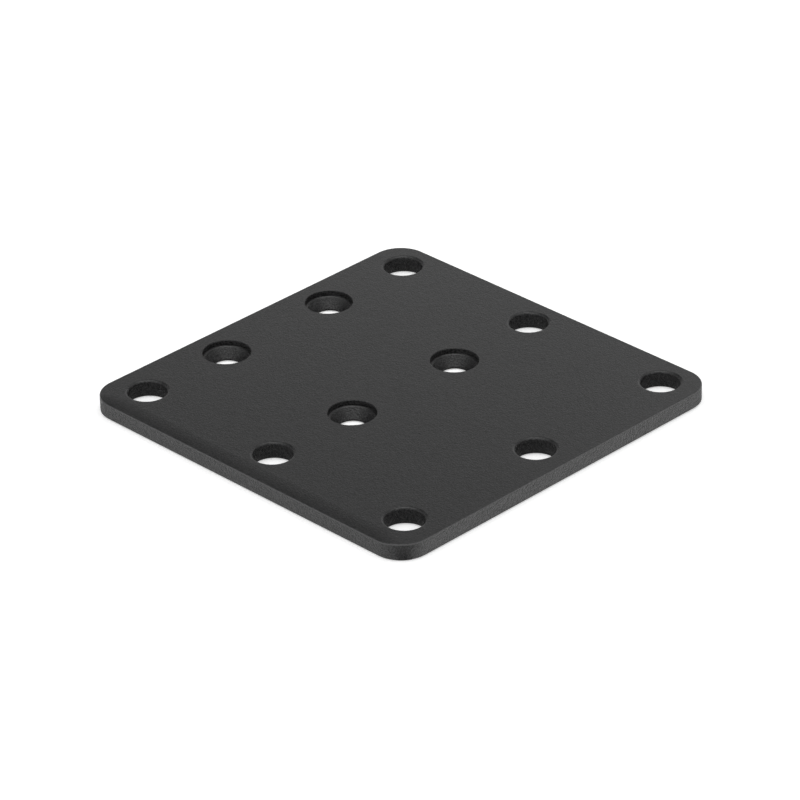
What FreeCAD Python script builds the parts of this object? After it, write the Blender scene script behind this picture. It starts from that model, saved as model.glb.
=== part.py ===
"""Flat square mounting plate with seven plain and four countersunk holes. One solid, sizes in mm."""
import math
import os

import FreeCAD
import Part

V = FreeCAD.Vector

# The plate lies flat: X and Y run along its edges, Z is up, the origin is the middle of its underside.
SIDE = 98.0
THICKNESS = 4.0
CORNER_RADIUS = 7.0
EDGE_ROUND = 0.3
EDGE_CHAMFER = 0.3

# Along -Y the top rolls over in a long shallow arc, as a sheared edge does. The roll ends by curving out past the
# edge, so that it dies out near the corners.
ROLL_WIDTH = 4.0
ROLL_DROP = 0.28
ROLL_HALF_LENGTH = 40.0
ROLL_END_RADIUS = 8.0
ROLL_END_TURN = 60.0

# All holes sit on a grid that is moved a little along +Y from the middle of the plate.
GRID_MOVE_Y = 1.0
GRID_PITCH = 40.0

# Plain holes: a soft rim on top, which turns by this many degrees before it meets the wall, and a chamfer below.
PLAIN_RADIUS = 4.4
PLAIN_RIM_ROUND = 0.8
PLAIN_RIM_TURN = 60.0
PLAIN_CHAMFER = 0.4

# Grid steps of the plain holes from the middle of the grid.
PLAIN_STEPS = [(-1, -1), (1, -1), (1, 1), (-1, 1), (0, -1), (0, 1), (1, 0)]

# Countersunk holes stand at the corners of a smaller rectangle.
SINK_MIDDLE_X = -20.0
SINK_SPACING_X = 40.0
SINK_SPACING_Y = 32.0

# A countersunk hole is a straight recess, a narrow level ledge with a soft inner edge, a cone and a through hole.
SINK_RADIUS = 5.46
SINK_RIM_CHAMFER = 0.12
SINK_DEPTH = 1.2
SINK_LEDGE = 0.1
SINK_LEDGE_ROUND = 0.7
SINK_HALF_ANGLE = 45.0
SINK_HOLE_RADIUS = 2.9
SINK_FOOT_CHAMFER = 0.4

# How far cutting shapes run past the faces they cut.
SPARE = 1.0


def plain_places():
    """Centres of the plain holes."""
    places = []
    for step_x, step_y in PLAIN_STEPS:
        places.append((step_x * GRID_PITCH, step_y * GRID_PITCH + GRID_MOVE_Y))
    return places


def sink_places():
    """Centres of the countersunk holes."""
    places = []
    for side_x in (-1, 1):
        for side_y in (-1, 1):
            x = SINK_MIDDLE_X + side_x * SINK_SPACING_X / 2
            y = side_y * SINK_SPACING_Y / 2 + GRID_MOVE_Y
            places.append((x, y))
    return places


def upright_edges(solid):
    """The straight edges that run along Z."""
    found = []
    for edge in solid.Edges:
        if len(edge.Vertexes) != 2:
            continue
        start, end = edge.Vertexes[0].Point, edge.Vertexes[1].Point
        if math.hypot(start.x - end.x, start.y - end.y) < 1e-6:
            found.append(edge)
    return found


def level_edges(solid, height):
    """The edges that lie in the plane at this height."""
    found = []
    for edge in solid.Edges:
        box = edge.BoundBox
        if box.ZLength < 1e-6 and abs(box.ZMin - height) < 1e-6:
            found.append(edge)
    return found


def rim_edges(solid):
    """The edges where the upright side faces meet the top."""
    found = []
    for face in solid.Faces:
        first_u, last_u, first_v, last_v = face.ParameterRange
        normal = face.normalAt((first_u + last_u) / 2, (first_v + last_v) / 2)
        if abs(normal.z) < 1e-6:
            found += [edge for edge in face.Edges if edge.BoundBox.ZMin > THICKNESS / 2]
    return found


def roll_cutter():
    """What the roll-over takes off the blank: one section run along the edge and curved out past it at both ends."""
    edge_y = -SIDE / 2
    radius = ROLL_WIDTH ** 2 / (2 * ROLL_DROP)
    low, high = THICKNESS - radius, THICKNESS + SPARE
    inner_y, outer_y = edge_y + ROLL_WIDTH, edge_y - SPARE

    reach = inner_y - outer_y
    inner = V(0, inner_y, THICKNESS)
    middle = V(0, inner_y - reach / 2, low + math.sqrt(radius ** 2 - (reach / 2) ** 2))
    outer = V(0, outer_y, low + math.sqrt(radius ** 2 - reach ** 2))
    above_inner, above_outer = V(0, inner_y, high), V(0, outer_y, high)
    edges = [
        Part.Arc(inner, middle, outer).toShape(),
        Part.makeLine(outer, above_outer),
        Part.makeLine(above_outer, above_inner),
        Part.makeLine(above_inner, inner),
    ]
    section = Part.Face(Part.Wire(edges))

    pieces = [section.translated(V(-ROLL_HALF_LENGTH, 0, 0)).extrude(V(2 * ROLL_HALF_LENGTH, 0, 0))]
    for side in (-1, 1):
        start = V(side * ROLL_HALF_LENGTH, 0, 0)
        axis_point = V(side * ROLL_HALF_LENGTH, edge_y - ROLL_END_RADIUS, 0)
        pieces.append(section.translated(start).revolve(axis_point, V(0, 0, 1), -side * ROLL_END_TURN))
    return pieces


def blank():
    """Square plate with round corners, chamfered along the bottom, rolled over along -Y and softly rounded on top."""
    plate = Part.makeBox(SIDE, SIDE, THICKNESS, V(-SIDE / 2, -SIDE / 2, 0))
    plate = plate.makeFillet(CORNER_RADIUS, upright_edges(plate))
    plate = plate.makeChamfer(EDGE_CHAMFER, level_edges(plate, 0))
    plate = plate.cut(roll_cutter())
    return plate.makeFillet(EDGE_ROUND, rim_edges(plate))


def line(start, end):
    """Straight edge between two (radius, height) points."""
    return Part.makeLine(V(start[0], 0, start[1]), V(end[0], 0, end[1]))


def bend_down(start, round_radius, turn):
    """Arc that leaves a level face at start and turns down towards the axis, with its lower end point."""
    angle = math.radians(turn)
    half = angle / 2
    middle = (start[0] - round_radius * math.sin(half), start[1] - round_radius * (1 - math.cos(half)))
    end = (start[0] - round_radius * math.sin(angle), start[1] - round_radius * (1 - math.cos(angle)))
    arc = Part.Arc(V(start[0], 0, start[1]), V(middle[0], 0, middle[1]), V(end[0], 0, end[1]))
    return arc.toShape(), end


def turned(edges, first, last):
    """Solid made by turning an outline about the Z axis, closed past both plate faces and along the axis."""
    low, high = -SPARE, THICKNESS + SPARE
    closing = [
        line(last, (last[0], high)),
        line((last[0], high), (0, high)),
        line((0, high), (0, low)),
        line((0, low), (first[0], low)),
        line((first[0], low), first),
    ]
    face = Part.Face(Part.Wire(edges + closing))
    return face.revolve(V(0, 0, 0), V(0, 0, 1), 360)


def plain_cutter():
    """Straight hole with a soft rim on top and a chamfer below."""
    wall, foot = PLAIN_RADIUS, PLAIN_CHAMFER
    rim = (wall + PLAIN_RIM_ROUND * math.sin(math.radians(PLAIN_RIM_TURN)), THICKNESS)
    arc, arc_end = bend_down(rim, PLAIN_RIM_ROUND, PLAIN_RIM_TURN)
    edges = [
        line((wall + foot, 0), (wall, foot)),
        line((wall, foot), arc_end),
        arc,
    ]
    return turned(edges, (wall + foot, 0), rim)


def sink_cutter():
    """Straight recess, a ledge with a soft inner edge, then a cone down to a through hole."""
    wall, hole = SINK_RADIUS, SINK_HOLE_RADIUS
    rim, foot = SINK_RIM_CHAMFER, SINK_FOOT_CHAMFER
    floor_z = THICKNESS - SINK_DEPTH
    ledge_end = (wall - SINK_LEDGE, floor_z)
    arc, arc_end = bend_down(ledge_end, SINK_LEDGE_ROUND, 90 - SINK_HALF_ANGLE)
    cone_z = arc_end[1] - (arc_end[0] - hole) / math.tan(math.radians(SINK_HALF_ANGLE))
    edges = [
        line((hole + foot, 0), (hole, foot)),
        line((hole, foot), (hole, cone_z)),
        line((hole, cone_z), arc_end),
        arc,
        line(ledge_end, (wall, floor_z)),
        line((wall, floor_z), (wall, THICKNESS - rim)),
        line((wall, THICKNESS - rim), (wall + rim, THICKNESS)),
    ]
    return turned(edges, (hole + foot, 0), (wall + rim, THICKNESS))


def mounting_plate():
    """The finished plate."""
    cutters = []
    for cutter, places in ((plain_cutter(), plain_places()), (sink_cutter(), sink_places())):
        for x, y in places:
            cutters.append(cutter.translated(V(x, y, 0)))
    return blank().cut(cutters).removeSplitter()


def main():
    """Build the plate and write its file."""
    os.makedirs("parts", exist_ok=True)
    plate = mounting_plate()
    solids = plate.Solids
    if len(solids) != 1 or not solids[0].isValid():
        raise RuntimeError("the plate is not one valid solid")
    solids[0].exportStep("parts/mounting_plate.step")
    print("volume mm3", round(solids[0].Volume, 1), "faces", len(solids[0].Faces))


main()
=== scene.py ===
"""Looks of the mounting plate: black powder coat, studio floor, soft light and the photograph's view."""
import math

import bpy
from mathutils import Matrix, Vector


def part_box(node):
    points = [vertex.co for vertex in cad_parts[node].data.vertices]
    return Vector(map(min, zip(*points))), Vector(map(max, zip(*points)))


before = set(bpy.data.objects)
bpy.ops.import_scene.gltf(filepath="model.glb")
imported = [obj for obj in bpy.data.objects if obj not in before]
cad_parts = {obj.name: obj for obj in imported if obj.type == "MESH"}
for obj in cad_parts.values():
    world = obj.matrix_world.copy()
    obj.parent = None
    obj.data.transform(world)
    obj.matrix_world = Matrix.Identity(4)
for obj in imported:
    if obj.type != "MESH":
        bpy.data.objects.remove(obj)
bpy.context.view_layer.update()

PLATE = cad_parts["mounting_plate"]
LOW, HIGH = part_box("mounting_plate")
MM = 0.001

# Camera, as measured from the photograph: where it stands round and above the plate and how it is rolled,
# in degrees; how far off it is, its small steps to the side and up, the point they start from, and the
# nearest and farthest that it sees, in metres; its lens and sensor, in mm.
CAMERA_AROUND = 45.50
CAMERA_ABOVE = 29.63
CAMERA_ROLL = -1.30
CAMERA_AWAY = 1.0129
CAMERA_SIDE_STEP = -0.00092
CAMERA_RISE = 0.00039
CAMERA_AIM = Vector((0, 0.001, 0))
CAMERA_LENS = 206.3
CAMERA_CLIP = (0.01, 50)
SENSOR = 36.0

# Powder coat: its darkest and lightest grains, its range of roughness, and its refractive index.
COAT_DARK = (0.004, 0.004, 0.0041, 1)
COAT_LIGHT = (0.028, 0.028, 0.0285, 1)
COAT_ROUGH = (0.28, 0.31)
COAT_IOR = 1.5

# Noises of the coat, each with its scale, detail and roughness: single grains, soft waves over several
# grains, and wide patches of more or less gloss; then the middle of a noise, and the range of the patches.
GRAIN_NOISE = (2600.0, 3.0, 0.6)
WAVES_NOISE = (700.0, 1.0, 0.5)
PATCH_NOISE = (40.0, 2.0, 0.5)
NOISE_MIDDLE = 0.5
PATCH_RANGE = (0.3, 0.7)

# How strongly the grain shows in the tone, the middle tone, the share of the waves in the relief, how high
# the relief stands, and how much more grain the cut sides show, which are coarser than the rolled faces.
GRAIN_TONE = 2.0
MIDDLE_TONE = 0.5
WAVES_SHARE = 0.3
RELIEF_HEIGHT = 0.06 * MM
SIDE_MORE = 5.0

# A painted highlight makes the coat paler along the plate's rounded top edge: its tone there, how far down
# and how far in from the sides it reaches, and the gain that brings its strongest place to one.
PAINTED_RIM_HIGHLIGHT = (0.09, 0.09, 0.091, 1)
RIM_REACH = 0.6 * MM
RIM_INSET = 2.3 * MM
RIM_GAIN = 4.0

# Studio floor: how far it reaches, its gap under the plate, its paint, how much it glows for the camera, and
# how much its front-left part, its front-right part and the rest glow in reflections.
FLOOR_HALF = 3.0
FLOOR_DROP = 0.05 * MM
FLOOR_WHITE = 0.85
CAMERA_GLOW = 0.5
LEFT_GLOW = 0.52
RIGHT_GLOW = 0.83
REST_GLOW = 0.0

# The two bright parts of the floor leave a wedge free before the front corner: how far out its tip lies
# along +X and -Y, and its sides in degrees from +X.
WEDGE_TIP = 0.042
WEDGE_LEFT = math.radians(-55)
WEDGE_RIGHT = math.radians(-27)

# Dark card over the floor in that wedge, seen only in reflections: its sides in degrees from +X, the two
# radii round the wedge's tip, how many straight pieces it has, how far it lies above the floor, and its
# brightness.
CARD_TURN = (math.radians(-52), math.radians(-29))
CARD_RADII = (0.0071, 0.06)
CARD_STEPS = 12
CARD_LIFT = 0.05 * MM
CARD_GLOW = 0.2

# Sky: even light from all round, with round soft patches. Each patch has its place in degrees, how far it is
# full and where it ends in degrees from its middle, and its light, or for the dark one the share that it
# takes away.
SKY_LIGHT = 0.53
FRONT_PATCH = ((-15, 12), (3, 34), 0.8)
OVERHEAD_PATCH = ((0, 90), (5, 36), 2.4)
DARK_PATCH = ((256, 43), (18, 27), 1.0)

# Low lit board behind the plate and a dimmer tall one to its right: how far behind they stand, and then for
# each its size, its place across, the height of its middle, and its brightness, where 1 is white.
BOARD_AWAY = 0.30
LOW_BOARD = ((0.6, 0.075), 0.0, 0.095, 0.44)
TALL_BOARD = ((0.2, 0.34), 0.2, 0.17, 0.3)


def direction(around, above):
    """Unit vector towards a place round and above the plate, in degrees: 0 round is -Y and 90 is +X."""
    turn, lift = math.radians(around), math.radians(above)
    return Vector((math.sin(turn) * math.cos(lift), -math.cos(turn) * math.cos(lift), math.sin(lift)))


def camera_axes():
    """Right, up and back directions of the camera."""
    back = direction(CAMERA_AROUND, CAMERA_ABOVE)
    right = direction(CAMERA_AROUND + 90, 0)
    up = back.cross(right)
    roll = Matrix.Rotation(math.radians(CAMERA_ROLL), 3, back)
    return roll @ right, roll @ up, back


def add_camera():
    """Camera at the photograph's viewing angle."""
    right, up, back = camera_axes()
    place = CAMERA_AIM + back * CAMERA_AWAY + right * CAMERA_SIDE_STEP + up * CAMERA_RISE
    data = bpy.data.cameras.new("camera")
    data.sensor_fit = "HORIZONTAL"
    data.sensor_width = SENSOR
    data.lens = CAMERA_LENS
    data.clip_start, data.clip_end = CAMERA_CLIP
    camera = bpy.data.objects.new("camera", data)
    bpy.context.scene.collection.objects.link(camera)
    turn = Matrix((right, up, back)).transposed().to_4x4()
    camera.matrix_world = Matrix.Translation(place) @ turn
    bpy.context.scene.camera = camera


def new_material(name):
    """Empty node material with its tree."""
    material = bpy.data.materials.new(name)
    material.use_nodes = True
    tree = material.node_tree
    tree.nodes.clear()
    return material, tree


def feed(tree, socket, value):
    """Gives an input an output to follow, or else a fixed value."""
    if isinstance(value, bpy.types.NodeSocket):
        tree.links.new(value, socket)
    else:
        socket.default_value = value


def number_node(tree, operation, *values):
    """Output of a math node whose inputs are outputs or numbers."""
    node = tree.nodes.new("ShaderNodeMath")
    node.operation = operation
    for socket, value in zip(node.inputs, values):
        feed(tree, socket, value)
    return node.outputs["Value"]


def product(tree, first, *others):
    """Output that is several outputs or numbers multiplied together."""
    for other in others:
        first = number_node(tree, "MULTIPLY", first, other)
    return first


def colour_mix(tree, factor, start, end):
    """Output that goes from one colour to another with the factor."""
    node = tree.nodes.new("ShaderNodeMix")
    node.data_type = "RGBA"
    feed(tree, node.inputs["Factor"], factor)
    feed(tree, node.inputs["A"], start)
    feed(tree, node.inputs["B"], end)
    return node.outputs["Result"]


def noise_node(tree, place, noise):
    """Output of a noise laid out in the plate's own coordinates."""
    node = tree.nodes.new("ShaderNodeTexNoise")
    tree.links.new(place.outputs["Object"], node.inputs["Vector"])
    for name, value in zip(("Scale", "Detail", "Roughness"), noise):
        node.inputs[name].default_value = value
    return node.outputs["Fac"]


def painted_highlight_share(tree, place, side, flat):
    """Output of up to one on the rounded top edge, where the highlight is painted, and nothing on level or
    upright faces or in holes.
    """
    spot = tree.nodes.new("ShaderNodeSeparateXYZ")
    tree.links.new(place.outputs["Object"], spot.inputs["Vector"])
    high = number_node(tree, "GREATER_THAN", spot.outputs["Z"], HIGH.z - RIM_REACH)
    across = number_node(tree, "ABSOLUTE", spot.outputs["X"])
    along = number_node(tree, "ABSOLUTE", spot.outputs["Y"])
    outward = number_node(tree, "MAXIMUM", across, along)
    outer = number_node(tree, "GREATER_THAN", outward, HIGH.x - RIM_INSET)
    return product(tree, side, flat, RIM_GAIN, high, outer)


def powder_coat():
    """Fine-grained satin black powder coat, with a highlight painted paler along its rounded top edge."""
    material, tree = new_material("black_powder_coat")
    nodes, links = tree.nodes, tree.links
    out = nodes.new("ShaderNodeOutputMaterial")
    coat = nodes.new("ShaderNodeBsdfPrincipled")
    coat.inputs["IOR"].default_value = COAT_IOR
    links.new(coat.outputs["BSDF"], out.inputs["Surface"])

    place = nodes.new("ShaderNodeTexCoord")
    grain = number_node(tree, "SUBTRACT", noise_node(tree, place, GRAIN_NOISE), NOISE_MIDDLE)
    waves = number_node(tree, "SUBTRACT", noise_node(tree, place, WAVES_NOISE), NOISE_MIDDLE)

    upright = nodes.new("ShaderNodeSeparateXYZ")
    links.new(place.outputs["Normal"], upright.inputs["Vector"])
    flat = number_node(tree, "ABSOLUTE", upright.outputs["Z"])
    side = number_node(tree, "SUBTRACT", 1.0, flat)
    share = number_node(tree, "MULTIPLY_ADD", side, SIDE_MORE, 1.0)

    tone = number_node(tree, "MULTIPLY_ADD", product(tree, grain, share), GRAIN_TONE, MIDDLE_TONE)
    grained = colour_mix(tree, tone, COAT_DARK, COAT_LIGHT)
    # A paler tone is painted along the rounded top edge as a painted highlight.
    colour = colour_mix(tree, painted_highlight_share(tree, place, side, flat), grained, PAINTED_RIM_HIGHLIGHT)
    links.new(colour, coat.inputs["Base Color"])

    rough = nodes.new("ShaderNodeMapRange")
    rough.inputs["From Min"].default_value, rough.inputs["From Max"].default_value = PATCH_RANGE
    rough.inputs["To Min"].default_value, rough.inputs["To Max"].default_value = COAT_ROUGH
    links.new(noise_node(tree, place, PATCH_NOISE), rough.inputs["Value"])
    links.new(rough.outputs["Result"], coat.inputs["Roughness"])

    relief = number_node(tree, "MULTIPLY_ADD", waves, WAVES_SHARE, grain)
    bump = nodes.new("ShaderNodeBump")
    bump.inputs["Distance"].default_value = RELIEF_HEIGHT
    links.new(product(tree, relief, share), bump.inputs["Height"])
    links.new(bump.outputs["Normal"], coat.inputs["Normal"])
    return material


def dress_plate():
    """The CAD plate keeps its shape and gets the powder coat."""
    PLATE.data.materials.clear()
    PLATE.data.materials.append(powder_coat())


def add_stage_piece(mesh):
    """Object of that mesh which belongs to the stage and not to the plate."""
    piece = bpy.data.objects.new(mesh.name, mesh)
    bpy.context.scene.collection.objects.link(piece)
    return piece


def floor_material(name, glossy_glow):
    """White floor paint that also glows by itself as the camera and reflections see it."""
    material, tree = new_material(name)
    nodes, links = tree.nodes, tree.links
    out = nodes.new("ShaderNodeOutputMaterial")
    paint = nodes.new("ShaderNodeBsdfDiffuse")
    paint.inputs["Color"].default_value = (FLOOR_WHITE, FLOOR_WHITE, FLOOR_WHITE, 1)
    glow = nodes.new("ShaderNodeEmission")
    path = nodes.new("ShaderNodeLightPath")
    reflected = product(tree, path.outputs["Is Glossy Ray"], glossy_glow)
    level = number_node(tree, "MULTIPLY_ADD", path.outputs["Is Camera Ray"], CAMERA_GLOW, reflected)
    links.new(level, glow.inputs["Strength"])
    both = nodes.new("ShaderNodeAddShader")
    links.new(paint.outputs["BSDF"], both.inputs[0])
    links.new(glow.outputs["Emission"], both.inputs[1])
    links.new(both.outputs["Shader"], out.inputs["Surface"])
    return material


def wedge_end(turn):
    """Far end of a side of the wedge before the front corner."""
    return WEDGE_TIP + FLOOR_HALF * math.cos(turn), -WEDGE_TIP + FLOOR_HALF * math.sin(turn)


def add_floor():
    """Level white floor just under the plate, in one sheet of several parts."""
    # The near points are the plate's corners, the front one notched to the wedge's tip. The far points are
    # the floor's corners, the front one replaced by the wedge's ends. A face lists its points by number.
    side, far, tip = HIGH.x, FLOOR_HALF, WEDGE_TIP
    near_points = [(-side, -side), (tip, -side), (tip, -tip), (side, -tip), (side, side), (-side, side)]
    far_points = [(-far, -far), wedge_end(WEDGE_LEFT), wedge_end(WEDGE_RIGHT), (far, far), (-far, far)]
    left, right = (0, 6, 7, 2, 1), (2, 8, 9, 4, 3)
    under, behind, wedge = (0, 1, 2, 3, 4, 5), (5, 4, 9, 10, 6, 0), (2, 7, 8)
    parts = (
        ("studio_floor_left", LEFT_GLOW, (left,)),
        ("studio_floor_right", RIGHT_GLOW, (right,)),
        ("studio_floor", REST_GLOW, (under, behind, wedge)),
    )
    level = LOW.z - FLOOR_DROP
    points = [(x, y, level) for x, y in near_points + far_points]
    mesh = bpy.data.meshes.new("studio_floor")
    mesh.from_pydata(points, [], [face for name, glow, faces in parts for face in faces])
    slots = [slot for slot, (name, glow, faces) in enumerate(parts) for face in faces]
    for name, glow, faces in parts:
        mesh.materials.append(floor_material(name, glow))
    for face, slot in zip(mesh.polygons, slots):
        face.material_index = slot
    add_stage_piece(mesh)


def card_material():
    """Plain even glow of the dark card."""
    material, tree = new_material("dark_card")
    out = tree.nodes.new("ShaderNodeOutputMaterial")
    glow = tree.nodes.new("ShaderNodeEmission")
    glow.inputs["Strength"].default_value = CARD_GLOW
    tree.links.new(glow.outputs["Emission"], out.inputs["Surface"])
    return material


def add_card():
    """Dark card before the front corner, which darkens the middle of the corner's face."""
    tip = Vector((WEDGE_TIP, -WEDGE_TIP, LOW.z - FLOOR_DROP + CARD_LIFT))
    start, end = CARD_TURN
    points = []
    for step in range(CARD_STEPS + 1):
        turn = start + (end - start) * step / CARD_STEPS
        points += [tip + Vector((math.cos(turn), math.sin(turn), 0)) * radius for radius in CARD_RADII]
    faces = [(2 * k, 2 * k + 1, 2 * k + 3, 2 * k + 2) for k in range(CARD_STEPS)]
    mesh = bpy.data.meshes.new("dark_card")
    mesh.from_pydata(points, [], faces)
    mesh.materials.append(card_material())
    card = add_stage_piece(mesh)
    card.visible_camera = False
    card.visible_diffuse = False
    card.visible_shadow = False


def sky_patch(tree, toward, patch):
    """Output that is the patch's light inside it and fades to nothing at its end."""
    place, (full, end), light = patch
    middle = tree.nodes.new("ShaderNodeVectorMath")
    middle.operation = "DOT_PRODUCT"
    middle.inputs[1].default_value = direction(*place)
    tree.links.new(toward, middle.inputs[0])
    fade = tree.nodes.new("ShaderNodeMapRange")
    fade.interpolation_type = "SMOOTHSTEP"
    fade.inputs["From Min"].default_value = math.cos(math.radians(end))
    fade.inputs["From Max"].default_value = math.cos(math.radians(full))
    fade.inputs["To Max"].default_value = light
    tree.links.new(middle.outputs["Value"], fade.inputs["Value"])
    return fade.outputs["Result"]


def blend(tree, factor, start, end):
    """Output that goes from one number to another as the factor goes from 0 to 1."""
    node = tree.nodes.new("ShaderNodeMapRange")
    feed(tree, node.inputs["Value"], factor)
    feed(tree, node.inputs["To Min"], start)
    feed(tree, node.inputs["To Max"], end)
    return node.outputs["Result"]


def add_world():
    """Soft light from all round with two brighter patches and a dark one; the camera sees it white."""
    world = bpy.data.worlds.new("studio")
    world.use_nodes = True
    tree = world.node_tree
    tree.nodes.clear()
    nodes, links = tree.nodes, tree.links
    toward = nodes.new("ShaderNodeTexCoord").outputs["Generated"]
    lit = number_node(tree, "ADD", sky_patch(tree, toward, FRONT_PATCH), SKY_LIGHT)
    lit = number_node(tree, "ADD", lit, sky_patch(tree, toward, OVERHEAD_PATCH))
    shaded = blend(tree, sky_patch(tree, toward, DARK_PATCH), lit, 0.0)
    path = nodes.new("ShaderNodeLightPath")
    back = nodes.new("ShaderNodeBackground")
    links.new(blend(tree, path.outputs["Is Camera Ray"], shaded, 1.0), back.inputs["Strength"])
    out = nodes.new("ShaderNodeOutputWorld")
    links.new(back.outputs["Background"], out.inputs["Surface"])
    bpy.context.scene.world = world


def add_board(name, board):
    """Soft lamp that stands behind the plate and faces it."""
    (width, tall), across, height, glow = board
    behind = direction(CAMERA_AROUND + 180, 0)
    right = direction(CAMERA_AROUND + 90, 0)
    data = bpy.data.lights.new(name, "AREA")
    data.shape = "RECTANGLE"
    data.size, data.size_y = width, tall
    data.energy = glow * math.pi * width * tall
    lamp = bpy.data.objects.new(name, data)
    bpy.context.scene.collection.objects.link(lamp)
    lamp.location = behind * BOARD_AWAY + right * across + Vector((0, 0, LOW.z + height))
    lamp.rotation_euler = behind.to_track_quat("Z", "Y").to_euler()


bpy.context.scene.view_settings.view_transform = "Standard"
add_camera()
dress_plate()
add_floor()
add_card()
add_world()
add_board("low_board", LOW_BOARD)
add_board("tall_board", TALL_BOARD)
